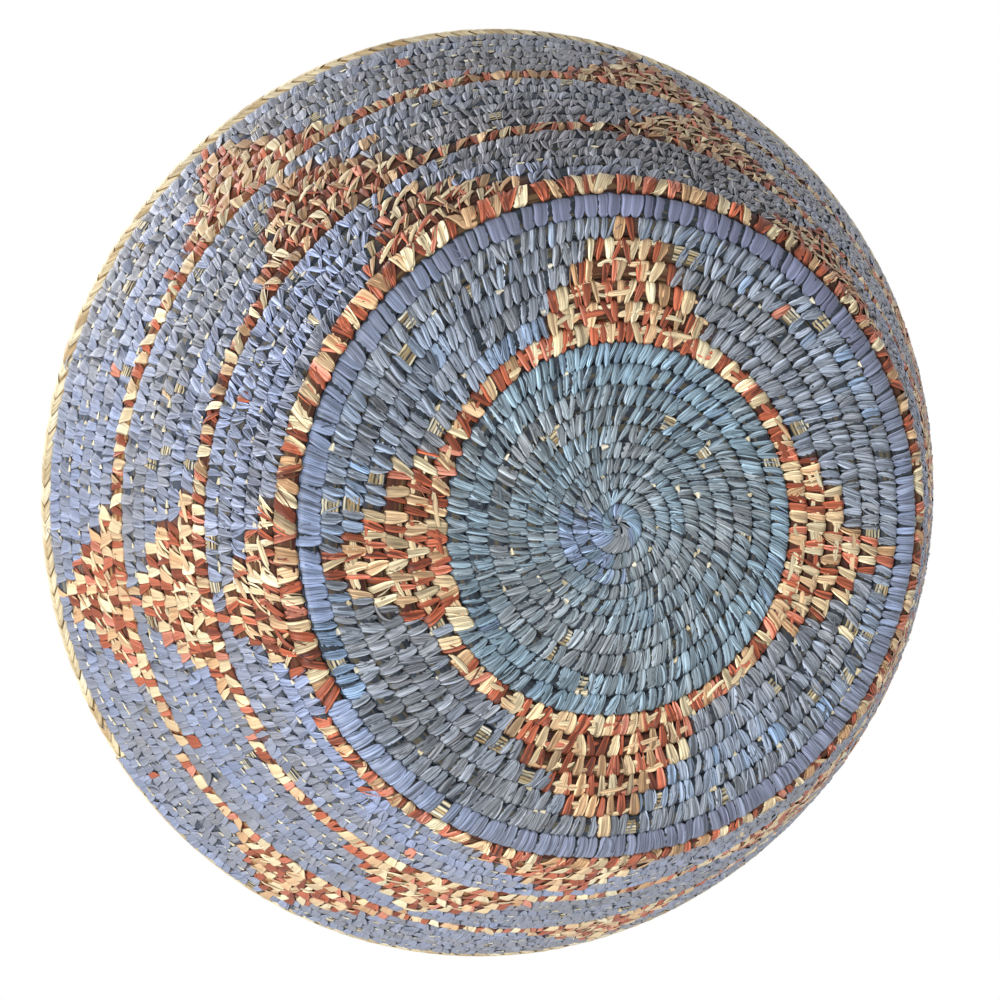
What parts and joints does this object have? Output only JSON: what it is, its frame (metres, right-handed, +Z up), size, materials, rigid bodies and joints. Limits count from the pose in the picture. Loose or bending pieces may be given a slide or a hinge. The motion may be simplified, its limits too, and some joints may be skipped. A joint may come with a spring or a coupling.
{
  "type": "coiled basket",
  "caption": "Round coiled bowl basket with a flat base and a flared wall, sewn in dyed leaf strip with a star on the base, stepped triangles up the wall and a laced rim.",
  "frame": {"origin": "centre of the base's underside, on the surface the basket stands on, and centred on the rim's outline", "axes": "+Z up through the middle of the bowl; +X is towards the right of the picture, which looks at the underside"},
  "size_m": [0.3892, 0.3904, 0.1284],
  "materials": {
    "slate_leaf": "dry split leaf strip dyed slate blue, fine grain along the strip, slight waxy sheen",
    "wall_blue_leaf": "dry split leaf strip dyed grey-blue, fine grain along the strip",
    "periwinkle_leaf": "smooth flat leaf strip dyed periwinkle blue, slight waxy sheen",
    "rust_leaf": "dry split leaf strip dyed rust red",
    "natural_leaf": "undyed cream leaf strip, slight waxy sheen",
    "grass_foundation": "dry grass stalks, matt"
  },
  "bodies": {
    "root": {"centre_start_coil": "slate_leaf", "base_field_coil": "slate_leaf", "base_ring_coil": "rust_leaf", "base_star_coil": "slate_leaf", "base_edge_coil": "periwinkle_leaf", "wall_ring_coil_1": "rust_leaf", "wall_band_coil_1": "wall_blue_leaf", "wall_ring_coil_2": "rust_leaf", "wall_band_coil_2": "wall_blue_leaf", "wall_ring_coil_3": "rust_leaf", "wall_band_coil_3": "wall_blue_leaf", "rim_coil": "grass_foundation", "rim_lacing": "natural_leaf"}
  },
  "joints": []
}
